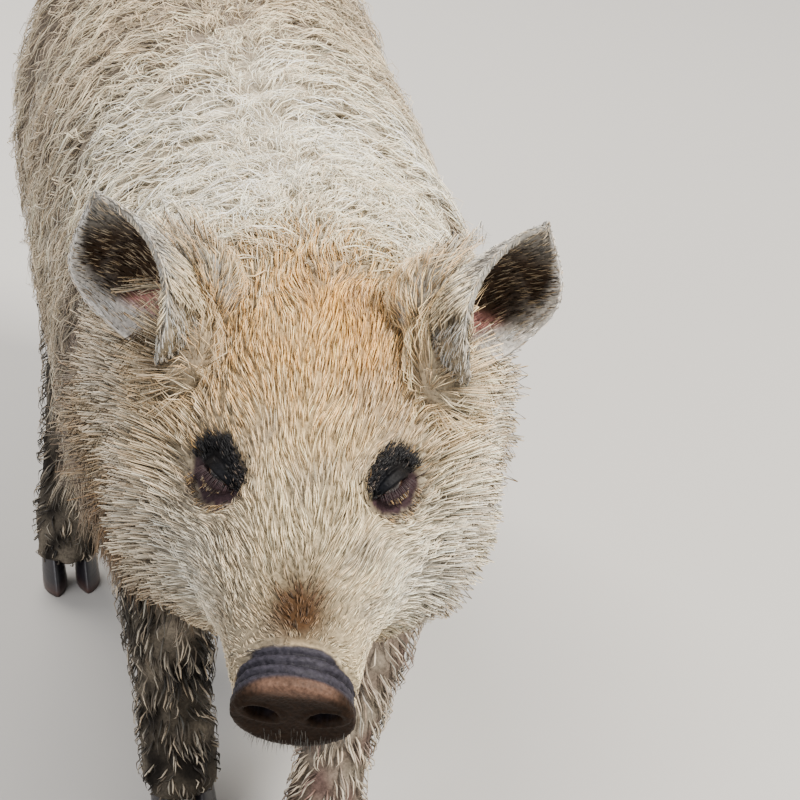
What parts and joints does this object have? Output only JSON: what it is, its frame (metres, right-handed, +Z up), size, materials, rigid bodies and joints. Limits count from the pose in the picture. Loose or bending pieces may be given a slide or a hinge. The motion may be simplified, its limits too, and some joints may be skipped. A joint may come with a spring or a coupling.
{
  "type": "mangalica pig",
  "caption": "Life-size still model of a young curly-coated mangalica pig in mid walk, head lowered, ears half raised, standing on small flat hooves.",
  "frame": {"origin": "on the floor under the middle of the whole model's box", "axes": "+Z up, the pig faces -Y, its own left side is towards +X"},
  "size_m": [0.3202, 1.0888, 0.5564],
  "materials": {
    "coat": "curly cream hair over grey skin, matt",
    "face": "short tan and cream hair, matt",
    "leg": "short dark grey hair streaked with cream, matt",
    "ear": "thin grey-brown skin with a hairy cream rim",
    "snout": "bare wrinkled dark skin, slightly moist",
    "eye": "dark, wet and glossy",
    "hoof": "blue-black horn, satin"
  },
  "bodies": {
    "root": {"torso": "coat", "neck": "coat", "head": "face", "snout": "snout", "ear_left": "ear", "ear_right": "ear", "eye_left": "eye", "eye_right": "eye", "foreleg_left": "leg", "foreleg_right": "leg", "hindleg_left": "leg", "hindleg_right": "leg", "tail": "coat", "claw_foreleg_left_left": "hoof", "claw_foreleg_left_right": "hoof", "claw_foreleg_right_left": "hoof", "claw_foreleg_right_right": "hoof", "claw_hindleg_left_left": "hoof", "claw_hindleg_left_right": "hoof", "claw_hindleg_right_left": "hoof", "claw_hindleg_right_right": "hoof", "dewclaw_foreleg_left_left": "hoof", "dewclaw_foreleg_left_right": "hoof", "dewclaw_foreleg_right_left": "hoof", "dewclaw_foreleg_right_right": "hoof", "dewclaw_hindleg_left_left": "hoof", "dewclaw_hindleg_left_right": "hoof", "dewclaw_hindleg_right_left": "hoof", "dewclaw_hindleg_right_right": "hoof"}
  },
  "joints": []
}
